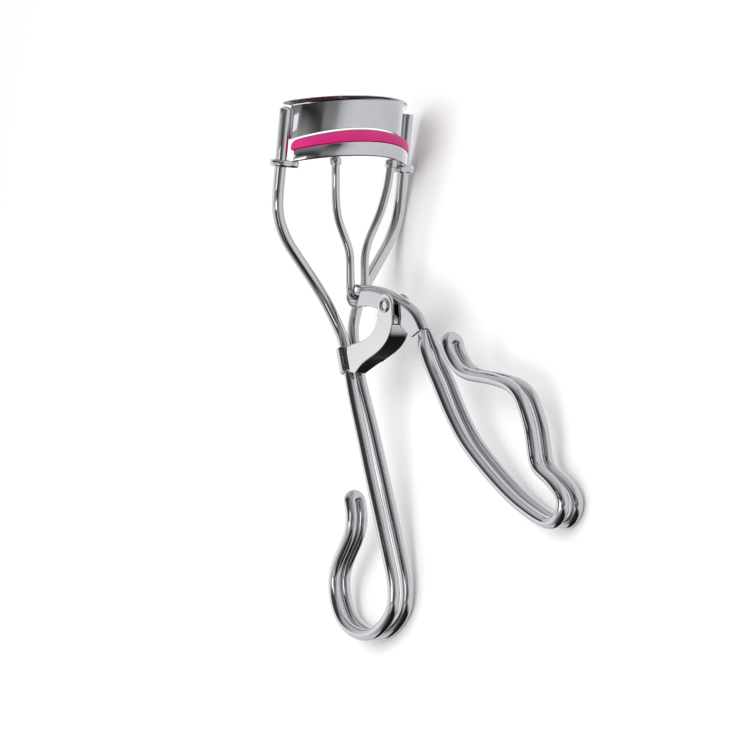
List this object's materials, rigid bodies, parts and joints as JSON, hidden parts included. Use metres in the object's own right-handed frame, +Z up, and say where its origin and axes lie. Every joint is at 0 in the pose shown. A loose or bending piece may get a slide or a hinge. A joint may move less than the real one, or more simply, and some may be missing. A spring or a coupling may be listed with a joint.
{
  "type": "eyelash curler",
  "caption": "Side-lever eyelash curler with an arched fixed jaw plate, a padded jaw bar sliding on guide rods, a wire yoke, a riveted lever and bent-wire finger loops.",
  "frame": {"origin": "centre of the footprint on the table, with the tool lying on its side", "axes": "+Z up from the table; +Y along the tool from the finger loops to the jaws; +X the way the jaws bulge and the lever handle swings out"},
  "size_m": [0.0792, 0.1016, 0.0335],
  "materials": {
    "chrome_wire": "polished chrome on round wire",
    "chrome_plate": "polished chrome on pressed sheet",
    "chrome_bar": "polished chrome on pressed sheet",
    "pad_pink": "satin silicone rubber",
    "chrome_yoke": "polished chrome on round wire",
    "chrome_ferrule_a": "polished chrome",
    "chrome_ferrule_b": "polished chrome",
    "chrome_link": "polished chrome on pressed sheet",
    "chrome_lever": "polished chrome on pressed sheet",
    "chrome_handle": "polished chrome on round wire",
    "chrome_rivet": "polished chrome"
  },
  "bodies": {
    "frame": {"frame_wire": "chrome_wire", "upper_jaw_plate": "chrome_plate", "link_bracket": "chrome_link", "pivot_rivet": "chrome_rivet"},
    "lever": {"lever_bracket": "chrome_lever", "lever_handle_wire": "chrome_handle"},
    "lower_jaw": {"lower_jaw_bar": "chrome_bar", "jaw_pad": "pad_pink", "yoke_wire": "chrome_yoke", "yoke_ferrule_left": "chrome_ferrule_a", "yoke_ferrule_right": "chrome_ferrule_b"}
  },
  "joints": [
    {"name": "lever_hinge", "type": "hinge", "parent": "frame", "child": "lever", "pos_m": [-0.01676, 0.01229, 0.01157], "axis": [0.0827, -0.1397, 0.9867], "range_deg": [-1, 26]},
    {"name": "jaw_slide", "type": "slide", "parent": "frame", "child": "lower_jaw", "axis": [0.0058, 0.9902, 0.1397], "range_m": [-0.0054, 0.00025]}
  ],
  "couplings": [
    {"joint": "jaw_slide", "follows": "lever_hinge", "m_per_rad": -0.0116}
  ]
}
